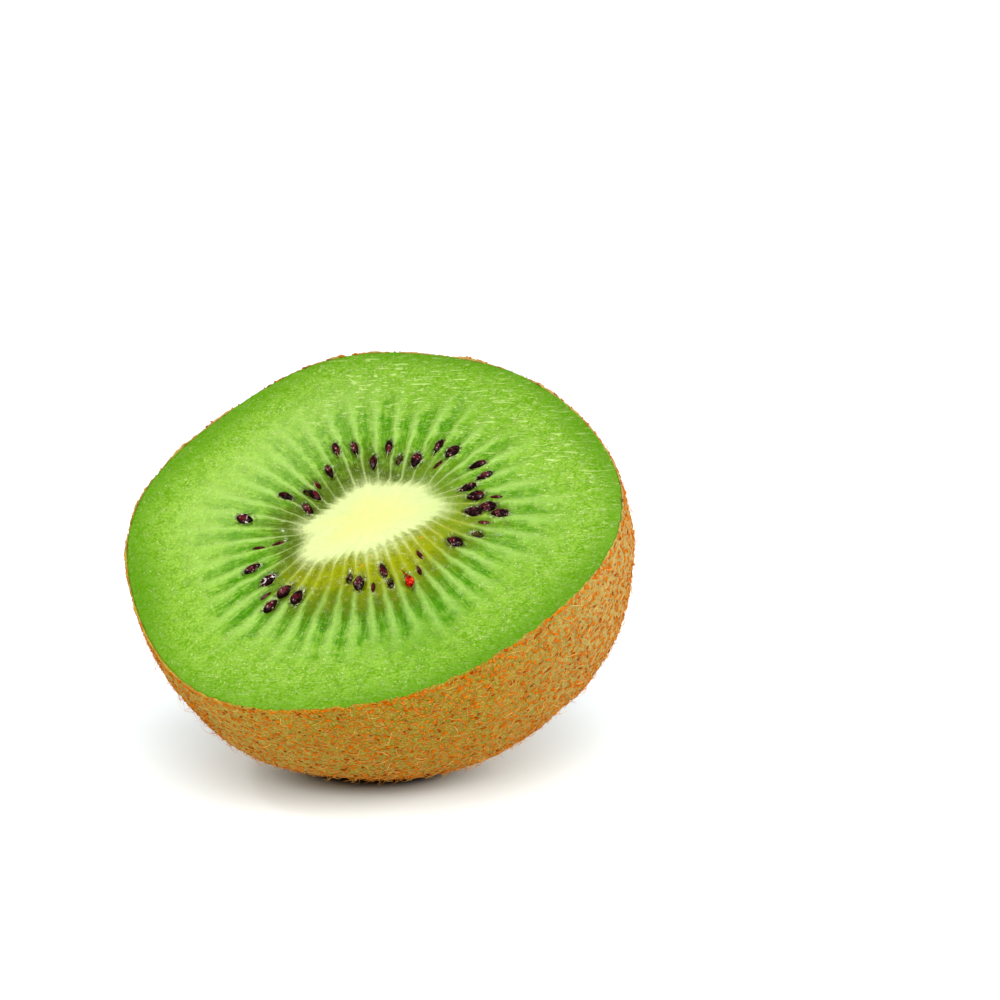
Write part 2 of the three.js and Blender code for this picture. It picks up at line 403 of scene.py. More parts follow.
class Paint:
    """The node tree of one material."""

    def __init__(self, name):
        self.material = bpy.data.materials.new(name)
        self.material.use_nodes = True
        self.tree = self.material.node_tree
        self.tree.nodes.clear()

    def node(self, kind, settings=None, sockets=None, output=0):
        """Adds a node, sets its settings, then sets or links its sockets."""
        made = self.tree.nodes.new("ShaderNode" + kind)
        for key, value in (settings or {}).items():
            setattr(made, key, value)
        for key, value in (sockets or {}).items():
            if isinstance(value, Value):
                self.tree.links.new(value.socket, made.inputs[key])
            else:
                made.inputs[key].default_value = value
        return Value(self, made.outputs[output]) if len(made.outputs) else None

    def place(self):
        """Object coordinates in the cut's frame, in millimetres."""
        return self.node("Mapping", {"vector_type": "TEXTURE"}, {
            "Vector": self.node("TexCoord", output="Object"),
            "Location": [c * MM for c in CUT_CENTRE],
            "Rotation": LEANING.to_euler(),
            "Scale": (MM, MM, MM),
        })

    def split(self, vector):
        return [self.node("SeparateXYZ", sockets={0: vector}, output=i) for i in range(3)]

    def noted(self, name):
        """The value that a piece's points were given under this name."""
        return self.node("Attribute", {"attribute_name": name}, output="Fac")

    def join(self, x, y, z=0.0):
        return self.node("CombineXYZ", sockets={0: x, 1: y, 2: z})

    def noise(self, vector, scale, detail=2.0, roughness=0.5, distortion=0.0):
        return self.node("TexNoise", sockets={
            "Vector": vector, "Scale": scale, "Detail": detail, "Roughness": roughness, "Distortion": distortion})

    def chance(self, number):
        """A draw between 0 and 1 that is the same for the same whole number."""
        return self.node("TexWhiteNoise", {"noise_dimensions": "1D"}, {"W": number})

    def cells(self, vector, scale, feature="F1"):
        return self.node("TexVoronoi", {"feature": feature}, {"Vector": vector, "Scale": scale}, "Distance")

    def ease(self, value, low, high):
        """From 0 at low to 1 at high, soft at both ends. Low may be the larger."""
        return self.node("MapRange", {"interpolation_type": "SMOOTHSTEP"}, {
            "Value": value, "From Min": low, "From Max": high})

    def mix(self, first, second, factor):
        return self.node("Mix", {"data_type": "RGBA"}, {0: factor, 6: first, 7: second}, 2)

    def layered(self, base, *coats):
        """Colours laid over a base in turn, each with its share."""
        for tone, share in coats:
            base = self.mix(base, tone, share)
        return base

    def bump(self, height, distance):
        return self.node("Bump", sockets={"Height": height, "Distance": distance * MM})

    def finish(self, sockets):
        """Ends the tree in a surface with these sockets."""
        surface = self.node("BsdfPrincipled", sockets=sockets)
        self.node("OutputMaterial", sockets={"Surface": surface})
        return self.material


# ---------------------------------------------------------------- mesh helpers


def clear_selection():
    bpy.ops.object.select_all(action="DESELECT")


def finish_piece(piece, name, material, slot, *stands_for, smooth_angle=None):
    """Merges a piece's seams and poles, turns its faces out, and gives it its name, material and place."""
    clear_selection()
    piece.select_set(True)
    bpy.context.view_layer.objects.active = piece
    bpy.ops.object.mode_set(mode="EDIT")
    bpy.ops.mesh.select_all(action="SELECT")
    bpy.ops.mesh.remove_doubles(threshold=1e-7)
    bpy.ops.mesh.normals_make_consistent(inside=False)
    bpy.ops.object.mode_set(mode="OBJECT")
    if smooth_angle:
        bpy.ops.object.shade_smooth_by_angle(angle=math.radians(smooth_angle))
    else:
        bpy.ops.object.shade_smooth()
    piece.name = piece.data.name = name
    piece.data.materials.clear()
    piece.data.materials.append(material)
    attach(piece, "root")
    if stands_for:
        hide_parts(*stands_for)


def rolled(rows, outs):
    """A grid rolled round the fruit. Out is a value for each point, which its material reads with the turn."""
    rows = np.array(rows)
    clear_selection()
    bpy.ops.mesh.primitive_grid_add(
        x_subdivisions=rows.shape[1] - 1, y_subdivisions=len(rows) - 1, size=1, calc_uvs=True)
    piece = bpy.context.object
    mesh = piece.data
    mesh.vertices.foreach_set("co", in_place(rows.reshape(-1, 3)).ravel())
    layer = mesh.uv_layers[0]
    layer.name = UV_NAME
    uv = np.empty(2 * len(mesh.loops))
    layer.data.foreach_get("uv", uv)
    corners = np.empty(len(mesh.loops), int)
    mesh.loops.foreach_get("vertex_index", corners)
    uv[1::2] = np.broadcast_to(outs, rows.shape[:2]).ravel()[corners]
    layer.data.foreach_set("uv", uv)
    return piece


def note(piece, name, values):
    """Gives each point of a piece a value that its material reads."""
    attribute = piece.data.attributes.new(name, "FLOAT", "POINT")
    attribute.data.foreach_set("value", np.asarray(values, np.float32).ravel())


def lumps(points, size, seed):
    """Soft noise between about -1 and 1 at each point, with lumps of this size."""
    moved = points.reshape(-1, 3) / size + 17.3 * seed
    return np.array([noise.noise(p) for p in moved.tolist()]).reshape(points.shape[:-1]) * 1.6


def shape_of(piece):
    """The points and the faces of a piece, which is then removed."""
    mesh = piece.data
    points = np.empty(3 * len(mesh.vertices))
    mesh.vertices.foreach_get("co", points)
    faces = [tuple(face.vertices) for face in mesh.polygons]
    bpy.data.meshes.remove(mesh)
    return points.reshape(-1, 3), faces


def strewn(points, faces, notes=None):
    """One mesh of many copies: points and notes have a row for each copy, and points are in the cut's frame."""
    copies, count = points.shape[:2]
    mesh = bpy.data.meshes.new("strewn")
    corners = np.concatenate([np.array(face) for face in faces])
    lengths = np.array([len(face) for face in faces])
    all_corners = (corners[None, :] + count * np.arange(copies)[:, None]).ravel()
    all_lengths = np.tile(lengths, copies)
    mesh.vertices.add(copies * count)
    placed = in_place(points.reshape(-1, 3))
    placed[:, 2] = np.maximum(placed[:, 2], CLEARANCE * MM)
    mesh.vertices.foreach_set("co", placed.ravel())
    mesh.loops.add(len(all_corners))
    mesh.loops.foreach_set("vertex_index", all_corners)
    mesh.polygons.add(len(all_lengths))
    mesh.polygons.foreach_set("loop_start", np.concatenate([[0], np.cumsum(all_lengths)[:-1]]))
    mesh.update(calc_edges=True)
    mesh.validate()
    piece = bpy.data.objects.new("strewn", mesh)
    bpy.context.scene.collection.objects.link(piece)
    for name, values in (notes or {}).items():
        note(piece, name, np.broadcast_to(values, (copies, count)))
    return piece


# ---------------------------------------------------------------- the cut


def bell(distance, height, at, width, power):
    return height * np.exp(-(((distance - at) / width) ** power))


def pits(x, y):
    """How deep the flesh dips round the seeds, and how near the next seed is."""
    dip = np.zeros_like(x)
    near = np.zeros_like(x)
    for seeds, dips, nears in (
        (STANDING_SEEDS, (0.16, 1.05, 0.4, 2), (1, 1.15, 0.3, 2)),
        (SUNK_SEEDS, (0.34, 0, 0.85, 4), (1, 0, 1.25, 4)),
        (SLIVER_SEEDS, (0.12, 0, 0.9, 4), (0.7, 0, 1.2, 2)),
    ):
        for seed in seeds:
            distance = seed_distance(x, y, seed)
            dip = np.maximum(dip, bell(distance, *dips))
            near = np.maximum(near, bell(distance, *nears))
    return dip, near


def cut_look(paint):
    """The colour, height and wetness of the cut, for the flesh and the core alike."""
    tint = colours()
    ease, speckle = paint.ease, paint.noise
    turn, out, _ = paint.split(paint.node("UVMap", {"uv_map": UV_NAME}))
    place = paint.place()
    x, y, _ = paint.split(place)
    around = turn * (2 * PI)

    # The grain: lumps, soft and fine, and fibres that run outwards. These three lie about 0
    grain = speckle(place, 3.4, 3.0, 0.6, 0.4)
    soft, fine = speckle(place, 0.75, 4.0, 0.62) - 0.5, grain - 0.5
    rays = paint.join(around.call("COSINE") * FIBRES, around.call("SINE") * FIBRES, out * 10)
    fibre = speckle(rays, 1.0, 3.0, 0.6) - 0.5

    # Parts of the cut with a tone of their own
    low = ease(y - x * 0.1, 0.8, -6.0)
    upper_left = ease(y - x * 0.7, 8.0, 20.0)
    upper_right = ease(y + x * 0.5, 8.0, 21.0)
    right = ease(x - abs(y) * 0.2, 5.0, 14.0)
    green = ease(abs(x - 1) * 0.8 + abs(y + 16) + soft * 8, 9.0, 1.0)
    pale_rim = ease(abs(x + 11) * 0.7 + abs(y + 19), 11.0, 2.0)

    # Chambers, and the walls between them
    wander = (speckle(place, 0.3, 2.0) - 0.5) * 0.55 + soft * 0.3
    phase = turn * CHAMBERS + wander * ease(out, 0.02, 0.3)
    edge = abs(phase.call("FRACT") * 2 - 1)
    chamber_tone = paint.chance(phase.call("FLOOR")) - 0.5
    wall_tone = paint.chance((phase + 0.5).call("FLOOR")) - 0.5
    spread = ease(out, 0.06, 0.5)
    wall = ease(edge + fibre * 0.3 + wall_tone * 0.1,
                0.74 - spread * (0.46 - 0.2 * upper_right) - 0.16 * low, 0.99 + 0.05 * spread)
    wall = wall * ease(out, -0.02, 0.03) * ease(out + wall_tone * 0.2 + fibre * 0.3, 0.72, 0.38)
    wall = wall * (0.925 + 0.45 * wall_tone)
    lobe_end = out + chamber_tone * 0.2 + (fibre + soft) * 0.5 + edge * 0.08
    lobe = ease(edge + fibre * 0.4, 0.92, 0.3) * ease(lobe_end, 0.68, 0.36) * ease(out, 0.06, 0.18)
    lobe = lobe * (1 - upper_left * 0.45) * (1 - right * 0.4)

    # Flesh
    blotch = ease(speckle(place, 1.4, 3.0, 0.6), 0.47, 0.62)
    ring = ease(out, 0.36, 0.5) * ease(out, 0.82, 0.6)
    threads = ease(fibre, 0.0, 0.14) * ease(out, 0.04, 0.16) * ease(out, 0.7, 0.45)
    tips = ease(out, 0.24, 0.36) * ease(out + chamber_tone * 0.16, 0.62, 0.44)
    tips = tips * ease(speckle(place, 1.1, 3.0, 0.6, 0.5) - edge * 0.12, 0.49, 0.58)
    film = low * ease(abs(x + 4.5), 12.0, 4.0) * ease(out, 0.08, 0.18) * ease(out + fibre * 0.3, 0.5, 0.3)
    band = ease(out + soft * 0.14 + fine * 0.08, 0.76, 1.03)
    flesh = paint.layered(
        tint.flesh_mid,
        (tint.flesh_light, ease(soft * 0.4 + fine * 0.6, -0.12, 0.12)),
        (tint.flesh_light, ring * 0.35),
        (tint.flesh_deep, blotch * 0.3 * ease(out, 0.7, 0.4)),
        (tint.flesh_deep, lobe * (0.5 + 0.1 * low + 0.3 * blotch + 0.25 * ease(out, 0.18, 0.4))),
        (tint.flesh_light, threads * (0.5 - 0.2 * upper_right)),
        (tint.flesh_deep, tips * (0.65 - 0.3 * right)),
        (tint.flesh_deep, right * ease(out, 0.8, 0.55) * 0.08),
        (colour("3c5c00"), film * (0.3 + 0.4 * lobe + 0.25 * blotch)),
        # Painted shade: the flesh a little darker towards the bottom of the cut, as the light comes from above
        (tint.flesh_deep, ease(y, 2.0, -18.0) * 0.08),
        (tint.fleck, upper_left * ease(out, 0.85, 0.6) * 0.16),
        (tint.flesh_rim, upper_right * ease(out, 0.95, 0.7) * 0.25),
        (tint.flesh_deep, green * 0.38),
        (tint.flesh_rim, band * (0.73 - 0.42 * pale_rim)),
    )

    # Flecks: the knife's short strokes, curled threads and dots; the dots are pale specks that also stand in for wet
    # sparkles, a painted highlight
    cos, sin = math.cos(STROKES_TURN), math.sin(STROKES_TURN)
    along, across = x * cos - y * sin, x * sin + y * cos
    calm = 1 - 0.75 * ease(y - x * 1.5, 13.0, 27.0)
    strokes = ease(speckle(paint.join(along * 0.6, across * 3.5), 1.0, 2.0, 0.55, 0.7), 0.575, 0.66) * calm
    nicks = ease(speckle(paint.join(along * 1.6, across * 5.5, 7.0), 1.0, 1.0, 0.5, 0.3), 0.6, 0.68) * calm
    patches = speckle(place, 0.9, 2.0)
    curls = ease(abs(speckle(place, 1.7, 1.0, 0.5, 1.6) - 0.5), 0.035, 0.005) * ease(patches, 0.52, 0.62)
    fleck_sparkle_dots = ease(paint.cells(place, 2.4), 0.28, 0.1) * ease(grain * 0.5 + patches * 0.5, 0.46, 0.58)
    outside = ease(out, 0.1, 0.4) * (1 - band * 0.65) * (1 - lobe * 0.7) * (1 - green * 0.6)

    # Jelly round the seeds
    trough = ease(edge + fibre * 0.6, 0.75, 0.15) * ease(soft + fine, -0.1, 0.1)
    jelly = paint.layered(
        tint.jelly_cool,
        (tint.jelly_warm, low),
        (tint.jelly_dark, trough * (0.75 - 0.45 * low)),
        (tint.amber, ease(paint.cells(place, 0.4), 0.12, 0.05) * low),
        (colour("6e8c1c"), ease(x, 3.0, 10.0) * 0.7),
        (colour("56700a"), ease(out, 0.1, 0.26) * 0.6),
    )
    inner = ease(out - 0.13 * ease(y - x * 0.1, -1.0, -9.0) + (fibre + soft) * 0.3, 0.31, 0.04)
    wall_colour = paint.layered(tint.wall, (tint.wall_low, low), (tint.wall_far, ease(out, 0.08, 0.3)))
    flesh = paint.layered(
        flesh,
        (tint.fleck, strokes * outside * (0.2 + 0.45 * ease(x * 0.6 + y, -7.0, 14.0))),
        (tint.fleck, nicks * outside * 0.35),
        (tint.fleck, curls * outside * 0.5),
        # Pale specks and painted sparkle highlights
        (tint.fleck, fleck_sparkle_dots * (0.25 - 0.2 * band + outside * 0.6)),
        (jelly, inner * (0.75 + 0.2 * low)),
        (wall_colour, wall * (0.5 + 0.5 * grain) * (1 - 0.15 * upper_right - 0.25 * film)),
    )

    # Core
    cream = paint.layered(tint.core, (tint.core_middle, ease(out, -0.08, -0.35)),
                          (tint.wall, ease(x + soft * 6, 3.0, 9.0) * 0.3))
    tooth = out - (edge ** 2) * (0.015 + 0.03 * low) + fine * 0.09 + soft * 0.06 + fibre * 0.07
    flesh = paint.mix(cream, flesh, ease(tooth, -0.085, 0.06))

    height = (grain + wall) * 0.5 + (strokes + nicks + curls + fleck_sparkle_dots + speckle(place, 11.0, 2.0)) * 0.25
    # Wet patches in the jelly: the flesh material gives them a coat and paints white glints on them, a painted
    # highlight
    wet = inner * ease(out, 0.0, 0.05) * ease(patches, 0.42, 0.6)
    return flesh, height, wet


def flesh_material():
    paint = Paint("kiwi_flesh")
    flesh, height, wet = cut_look(paint)
    near, place = paint.noted("near_seed"), paint.place()
    glint = paint.ease(abs(paint.noise(place, 2.1, 1.0, 0.5, 1.2) - 0.5), 0.03, 0.004)
    glint = glint * paint.ease(paint.noise(place, 1.3, 1.0), 0.5, 0.6)
    return paint.finish({
        "Base Color": paint.layered(
            flesh,
            # Painted shade: dark jelly colour in the pits round the seeds
            (colours().jelly_dark, near * paint.ease(paint.noise(place, 2.2, 2.0), 0.4, 0.55) * 0.75),
            # Painted highlight: white wet glints near the seeds and on the wet patches
            (colour("f0f6d0"), glint * (near * 0.75 + wet * 0.5))),
        "Roughness": 0.4,
        "Normal": paint.bump(height, 0.14),
        "Subsurface Weight": 0.3,
        "Subsurface Radius": (1.0, 1.5, 0.3),
        "Subsurface Scale": 0.6 * MM,
        "Specular IOR Level": 0.03,
        "Coat Weight": near * 0.35 + wet * 0.3,
        "Coat Roughness": 0.07,
    })


def core_material():
    paint = Paint("kiwi_core")
    flesh, height, _ = cut_look(paint)
    return paint.finish({
        "Base Color": flesh,
        "Roughness": 0.55,
        "Normal": paint.bump(height, 0.06),
        "Subsurface Weight": 0.35,
        "Subsurface Radius": (1.2, 1.2, 0.6),
        "Subsurface Scale": 0.8 * MM,
        "Specular IOR Level": 0.03,
    })


def out_from_core(angle, reach):
    """A reach as a share of the way from the pale core's edge to the rind."""
    return (reach - CREAM_REACH - waves(CREAM_WAVES, angle)) / (RIM_REACH - CORE_REACH)


class KIWI_OT_flesh(bpy.types.Operator):
    """Makes the flesh with its cut, its chambers and the pits of its seeds"""

    bl_idname = "kiwi.flesh"
    bl_label = "Flesh"

    def execute(self, context):
        inset = sizes().rind_thickness / MM
        phase = phases(FACE_COLUMNS)
        angle, rim = chamber_angle(phase), rim_angle(phase)
        start = core_reach(angle, phase)
        rows, outs = [], []
        x, y = on_oval(angle, start)
        for share in np.linspace(0, 1, HOLLOW_ROWS + 1)[:-1]:
            taper = math.sin(PI / 2 * share)
            rows.append(points_of(x * taper, y * taper, -CORE_DEPTH * math.cos(PI / 2 * share)))
            outs.append(out_from_core(angle, start))
        last = 1 - inset / (RIM_REACH - CORE_REACH)
        for share in np.linspace(0, last, FACE_ROWS):
            reach = start + (RIM_REACH - start) * share
            x, y = on_cut(angle, reach)
            rows.append(points_of(x, y, relief(phase, share)))
            outs.append(out_from_core(angle, reach))
        first = len(rows) - FACE_ROWS
        cut = np.array(rows[first:])
        dip, near = pits(cut[..., 0], cut[..., 1])
        rough = lumps(cut, 1.1, 1) * 0.03 + lumps(cut, 0.45, 2) * 0.018
        edge_fade = np.clip(np.linspace(0, 1, FACE_ROWS) * 8, 0, 1)[:, None]
        cut[..., 2] += rough * edge_fade - dip
        rows[first:] = list(cut)
        for turn in np.linspace(0, 1, BELLY_ROWS + 1)[1:]:
            depth = DEPTH * math.sin(PI / 2 * turn) * 0.985
            rows.append(on_rind(rim, depth, inset))
        rows.append(points_of(np.full_like(phase, END_SHIFT[0]), END_SHIFT[1], -DEPTH + 0.9))
        outs += [outs[-1]] * (len(rows) - len(outs))
        piece = rolled(rested(np.array(rows), inset), outs)
        nearness = np.zeros((len(rows), len(phase)))
        nearness[first:first + FACE_ROWS] = near
        note(piece, "near_seed", nearness)
        finish_piece(piece, "flesh_body", flesh_material(), "flesh", "flesh")
        return {"FINISHED"}


class KIWI_OT_core(bpy.types.Operator):
    """Makes the pale core, from its soft dome in the cut down to its tip"""

    bl_idname = "kiwi.core"
    bl_label = "Core"

    def execute(self, context):
        phase = phases(FACE_COLUMNS // 2)
        angle = chamber_angle(phase)
        edge_reach = core_reach(angle, phase)
        x, y = on_oval(angle, edge_reach)
        rows, outs = [], []
        for share in np.linspace(0, 1, CORE_ROWS):
            rows.append(points_of(x * share, y * share, CORE_DOME * (1 - share**2.2) + 0.008))
            outs.append(out_from_core(angle, edge_reach) - (1 - share) * CORE_REACH / (RIM_REACH - CORE_REACH))
        top = np.array(rows)
        grain = lumps(top, 0.9, 3) * 0.03 + lumps(top, 0.4, 4) * 0.02
        top[..., 2] += grain * np.clip(np.linspace(1, 0, CORE_ROWS) * 8, 0, 1)[:, None]
        rows = list(top)
        for share, level in ((0.5, -0.006), (1.0, -0.035)):
            reach = edge_reach + CORE_LAP * share
            rows.append(points_of(*on_oval(angle, reach), level))
            outs.append(out_from_core(angle, reach))
        inside = 1 - 0.05 / np.hypot(x, y)
        for share in np.linspace(1, 0, TIP_ROWS):
            taper = math.sin(PI / 2 * share)
            rows.append(points_of(x * inside * taper, y * inside * taper,
                                  -0.15 - (CORE_DEPTH - 0.3) * math.cos(PI / 2 * share)))
            outs.append(out_from_core(angle, edge_reach))
        finish_piece(rolled(rows, outs), "core_body", core_material(), "core", "core", smooth_angle=50)
        return {"FINISHED"}


# ---------------------------------------------------------------- the seeds


def seed_shape():
    """A seed along X, its blunt end out and its point towards the core, in half sizes."""
    clear_selection()
    bpy.ops.mesh.primitive_uv_sphere_add(segments=20, ring_count=14, radius=1)
    piece = bpy.context.object
    bpy.ops.object.mode_set(mode="EDIT")
    bpy.ops.mesh.select_all(action="SELECT")
    bpy.ops.transform.rotate(value=PI / 2, orient_axis="Y", center_override=(0, 0, 0))
    bpy.ops.object.mode_set(mode="OBJECT")
    points, faces = shape_of(piece)
    slim = 1 + 0.36 * np.minimum(0, points[:, 0])
    points[:, 1] *= slim
    points[:, 2] *= slim
    return points, faces


def laid_seeds(seeds, depths, length, swell=1.0):
    """The seeds in their places with their middles this deep, their faces, and how near each point is to the rim."""
    points, faces = seed_shape()
    placed = []
    for seed, depth in zip(seeds, depths):
        size = np.array([length / 2, swell * seed["width"] / 2, SEED_THICKNESS / 2])
        x, y, z = (points * size).T
        cos, sin = math.cos(seed["heading"]), math.sin(seed["heading"])
        placed.append(points_of(x * cos - y * sin + seed["x"], x * sin + y * cos + seed["y"], z - depth))
    return np.array(placed), faces, np.hypot(points[:, 0], points[:, 1])


def stalks(seeds, length, radius, seed):
    """The stalks that run from the seeds' points towards the core, each with a slight bend."""
    rng = np.random.default_rng(seed)
    shape, faces = strand_shape(STALK_RINGS)
    placed = []
    for root in seeds:
        inward = root["heading"] + PI + rng.uniform(-0.25, 0.25)
        ahead = points_of(math.cos(inward), math.sin(inward), 0)
        beside = points_of(-math.sin(inward), math.cos(inward), 0)
        along = shape[:, 2:] * length * rng.uniform(0.8, 1.2)
        tip = points_of(root["x"], root["y"], 0.1) - (SEED_LENGTH / 2 - 0.15) * points_of(
            math.cos(root["heading"]), math.sin(root["heading"]), 0)
        bent = rng.uniform(-0.3, 0.3) * shape[:, 2:] ** 2
        down = points_of(0, 0, -0.2) * np.minimum(1, 3 * shape[:, 2:])
        placed.append(tip + along * ahead + (bent + radius * shape[:, :1]) * beside + down
                      + radius * shape[:, 1:2] * points_of(0, 0, 1))
    return np.array(placed), faces


def seed_material(name, base, brown, sunk=False):
    paint = Paint(name)
    place = paint.place()
    patch = paint.noise(place, 1.3, 3.0)
    # Painted shade: the maroon fades out towards each seed's outline, leaving the near-black base as a dark edge
    coats = [(brown, paint.ease(patch - paint.noted("rim") * 0.25, 0.3, 0.56) * 0.75)]
    if sunk:
        coats.append((colours().jelly_dark, 0.6 * paint.ease(paint.noise(place, 2.4), 0.44, 0.58)))
    # Painted highlights: pale specks over the seeds and a white gleam on the wet ones
    spark = paint.ease(paint.cells(place, 2.6), 0.36, 0.14) * paint.ease(patch, 0.45, 0.54)
    gleam = paint.ease(abs(paint.noise(place, 1.2, 1.0) - 0.52), 0.035, 0.004) * paint.ease(patch, 0.42, 0.5)
    coats += [(colour("d8b0a8"), spark * 0.45), (colour("f4f0e8"), gleam * paint.noted("wet") * 0.9)]
    return paint.finish({
        "Base Color": paint.layered(base, *coats),
        "Roughness": 0.25,
        "Normal": paint.bump(paint.cells(place, 4.4, feature="SMOOTH_F1"), 0.07),
        "Specular IOR Level": 0.04,
        "Coat Weight": 0.1 * paint.ease(patch, 0.42, 0.6),
        "Coat Roughness": 0.05,
    })


def red_material():
    paint = Paint("kiwi_red_seed")
    patch = paint.noise(paint.place(), 1.8, 2.0)
    return paint.finish({
        "Base Color": paint.layered(
            colour("5c0804"),
            (colours().red_seed, paint.ease(patch, 0.38, 0.5)),
            (colour("d05010"), paint.ease(patch, 0.52, 0.62))),
        "Roughness": 0.25,
        "Normal": paint.bump(patch, 0.2),
        "Specular IOR Level": 0.04,
        "Coat Weight": 0.06 * paint.ease(patch, 0.4, 0.55),
    })


def stalk_material():
    paint = Paint("kiwi_seed_stalk")
    tint = colours()
    return paint.finish({
        "Base Color": paint.mix(tint.amber, tint.wall, paint.ease(paint.noise(paint.place(), 2.0), 0.35, 0.55)),
        "Roughness": 0.35,
        "Specular IOR Level": 0.2,
    })


class KIWI_OT_seeds(bpy.types.Operator):
    """Makes the seeds: those that stand in the cut, the sunk ones, the slivers, and the red one with its stalk"""

    bl_idname = "kiwi.seeds"
    bl_label = "Seeds"

    def execute(self, context):
        tint = colours()
        dark = [seed for seed in STANDING_SEEDS if seed["key"] != RED_SEED]
        red = [seed for seed in STANDING_SEEDS if seed["key"] == RED_SEED]
        if len(red) != 1:
            raise RuntimeError("the red seed isn't in the rows")
        maroon = colour("5c0c16")
        kinds = (
            ("seeds", dark, [SEED_SINK] * len(dark), SEED_LENGTH, seed_material("kiwi_seed", tint.seed, maroon)),
            ("sunk_seeds", SUNK_SEEDS, [SUNK_DEPTH - seed["level"] / 2 for seed in SUNK_SEEDS], 1.7,
             seed_material("kiwi_sunk_seed", tint.seed, colour("54300f"), sunk=True)),
            ("sliver_seeds", SLIVER_SEEDS, [SLIVER_DEPTH - seed["level"] for seed in SLIVER_SEEDS], SEED_LENGTH,
             seed_material("kiwi_sliver_seed", colour("340808"), colour("6a1c16"))),
        )
        for name, seeds, depths, length, material in kinds:
            # How much of the painted white gleam each seed gets
            gleam_films = np.array([[1.0 if seed["key"] in WET_GLEAM_SEEDS else 0.05] for seed in seeds])
            points, faces, rim = laid_seeds(seeds, depths, length)
            finish_piece(strewn(points, faces, {"wet": gleam_films, "rim": rim}), name, material, "seed")

        points, faces, _ = laid_seeds(red, [SEED_SINK], length=1.5, swell=1.1)
        points += lumps(points, 0.5, 13)[..., None] * 0.09
        stalked = [seed for seed in STANDING_SEEDS if seed["key"] in STALKED_SEEDS]
        flame = red_material()
        finish_piece(strewn(points, faces), "red_seed", flame, "seed")
        finish_piece(strewn(*stalks(red, 1.25, 0.16, 5)), "red_stalk", flame, "seed")
        finish_piece(strewn(*stalks(stalked, 1.5, 0.06, 6)), "seed_stalks", stalk_material(), "flesh")
        return {"FINISHED"}


# ---------------------------------------------------------------- the rind


def rind_material():
    tint = colours()
    paint = Paint("kiwi_rind")
    ease, cells = paint.ease, paint.cells
    place = paint.place()
    x, y, _ = paint.split(place)
    broad = paint.noise(place, 0.16, 2.0)
    patch = paint.noise(place, 0.8, 4.0, 0.65)
    grain = paint.noise(place, 5.0, 3.0, 0.65)
    shift = paint.node("TexNoise", sockets={"Vector": place, "Scale": 1.6, "Detail": 2.0}, output="Color")
    shift = paint.node("VectorMath", {"operation": "SCALE"}, {0: shift, "Scale": 1.1})
    warped = paint.node("VectorMath", {"operation": "ADD"}, {0: place, 1: shift})
    spots = ease(cells(warped, 0.85) + (grain - 0.5) * 0.2, 0.36, 0.2)
    specks = ease(cells(warped, 1.8) + (grain - 0.5) * 0.2, 0.32, 0.16)
    pores = ease(cells(place, 0.62) + (grain - 0.5) * 0.1, 0.17, 0.08)
    rust = paint.mix(tint.rust, tint.rust_dark, ease(grain + (patch - 0.5) * 0.6, 0.54, 0.7) * 0.7)
    return paint.finish({
        "Base Color": paint.layered(
            tint.rind_green,
            (tint.rind, ease(patch + (broad - 0.5) * 0.4 + (grain - 0.5) * 0.6, 0.36, 0.62)),
            # Painted shade: dark specks where the grain is low stand in for shade in the rind's crevices
            (colour("5a3c06"), ease(grain, 0.46, 0.34) * 0.75),
            (colour("cca256"), ease(grain, 0.53, 0.62) * 0.55),
            # Painted light: the rind paler towards both sides, where it catches more light
            (colour("cfae74"), ease(x + (patch - 0.5) * 12, 4.0, 25.0) * 0.38),
            (colour("caa44a"), ease(x + (patch - 0.5) * 12, -8.0, -24.0) * 0.3),
            (colour("c09a5a"), ease(y + (patch - 0.5) * 16, 0.0, 20.0) * 0.42),
            (rust, specks * 0.65),
            (rust, spots * 0.8),
            (colour("5e2404"), pores * 0.85)),
        "Roughness": 0.85,
        "Normal": paint.bump(spots * 0.8 + specks * 0.4 + grain * 0.5 + patch * 0.3, 0.22),
        "Specular IOR Level": 0.02,
        "Sheen Weight": 0.24,
        "Sheen Roughness": 0.36,
        "Sheen Tint": (1.0, 0.78, 0.45, 1.0),
    })


class KIWI_OT_rind(bpy.types.Operator):
    """Makes the rind as a closed shell with a ragged edge at the cut and a dimple at its end"""

    bl_idname = "kiwi.rind"
    bl_label = "Rind"

    def execute(self, context):
        inset = sizes().rind_thickness / MM
        angle = rim_angle(phases(RIND_COLUMNS))
        last = math.acos(DIMPLE_RADIUS / CUT_RADIUS)
        outer = [on_rind(angle, DEPTH * math.sin(last * turn)) for turn in np.linspace(0, 1, RIND_ROWS)]
        outer = swelled(np.array(outer))
        down = np.linspace(0, 1, RIND_ROWS)[:, None]
        ragged = lumps(outer[:1], 0.6, 8)[0] * 0.2 + lumps(outer[:1], 2.5, 9)[0] * 0.12
        outer[:, :, 2] += ragged * np.exp(-down * RIND_ROWS / 2)
        dimple = [end_ring(angle, *ring) for ring in ((3.3, -0.18), (2.6, -0.02), (1.5, 0.0), (0.0, 0.0))]
        rows = list(rested(np.array([*outer, *dimple])))
        for turn in np.linspace(1, 0, LINING_ROWS):
            depth = (DEPTH - 1.0) * math.sin(PI / 2 * turn)
            inner = rested(on_rind(angle, depth, inset), inset / 2)
            if turn == 0:
                inner[:, 2] += ragged - 0.02
            rows.append(inner)
        rows.append(rows[0])
        piece = rolled(rows, np.linspace(0, 1, len(rows))[:, None])
        finish_piece(piece, "rind", rind_material(), "rind", smooth_angle=60)
        return {"FINISHED"}


# ---------------------------------------------------------------- tufts and hair


